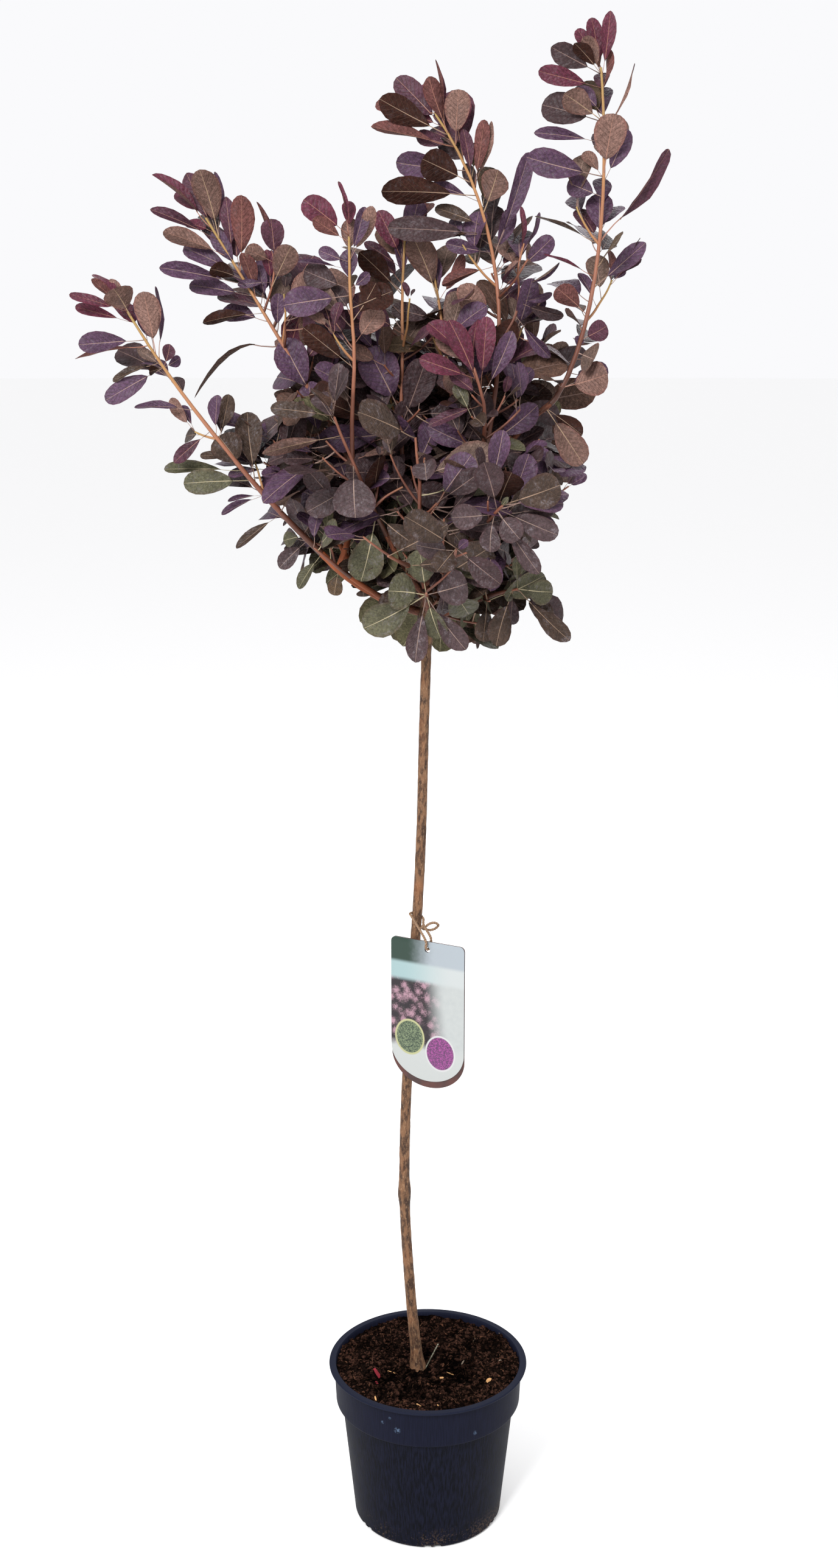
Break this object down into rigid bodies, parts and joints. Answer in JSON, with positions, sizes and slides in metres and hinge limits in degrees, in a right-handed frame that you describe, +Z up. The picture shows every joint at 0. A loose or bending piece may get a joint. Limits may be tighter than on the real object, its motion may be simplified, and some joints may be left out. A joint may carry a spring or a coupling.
{
  "type": "potted smoke bush",
  "caption": "Young smoke bush grown as a small standard: a slender stem under an open crown of purple oval leaves, in a round black nursery pot of soil, with a hanging plant label.",
  "frame": {"origin": "centre of the pot's flat underside", "axes": "+Z up along the stem, +X to the right as seen from the front, +Y towards the back"},
  "size_m": [0.541, 0.3535, 1.516],
  "materials": {
    "pot": "fine-textured moulded plastic",
    "soil": "moist, fibrous peat",
    "bark": "rough bark",
    "young_bark": "smooth young bark",
    "leaves": "matt leaves with pale veins",
    "label": "printed laminated card",
    "label_back": "printed card",
    "twine": "rough twine"
  },
  "bodies": {
    "root": {"bough_back": "young_bark", "bough_back_left": "young_bark", "bough_back_right": "young_bark", "bough_centre": "young_bark", "bough_centre_left": "young_bark", "bough_centre_thin": "young_bark", "bough_front": "young_bark", "bough_front_core": "young_bark", "bough_front_left": "young_bark", "bough_front_low": "young_bark", "bough_front_mid": "young_bark", "bough_front_right": "young_bark", "bough_left": "young_bark", "bough_left_back": "young_bark", "bough_left_mid": "young_bark", "bough_left_upright": "young_bark", "bough_low_back": "young_bark", "bough_low_front": "young_bark", "bough_low_left": "young_bark", "bough_low_right": "young_bark", "bough_right": "young_bark", "bough_right_low": "young_bark", "bough_upper_left": "young_bark", "foliage_back": "leaves", "foliage_back_left": "leaves", "foliage_back_right": "leaves", "foliage_centre": "leaves", "foliage_centre_left": "leaves", "foliage_centre_thin": "leaves", "foliage_front": "leaves", "foliage_front_core": "leaves", "foliage_front_left": "leaves", "foliage_front_low": "leaves", "foliage_front_mid": "leaves", "foliage_front_right": "leaves", "foliage_left": "leaves", "foliage_left_back": "leaves", "foliage_left_mid": "leaves", "foliage_left_upright": "leaves", "foliage_low_back": "leaves", "foliage_low_front": "leaves", "foliage_low_left": "leaves", "foliage_low_right": "leaves", "foliage_right": "leaves", "foliage_right_low": "leaves", "foliage_upper_left": "leaves", "label": "label", "label_back": "label_back", "label_twine": "twine", "pot": "pot", "soil": "soil", "trunk": "bark"}
  },
  "joints": []
}
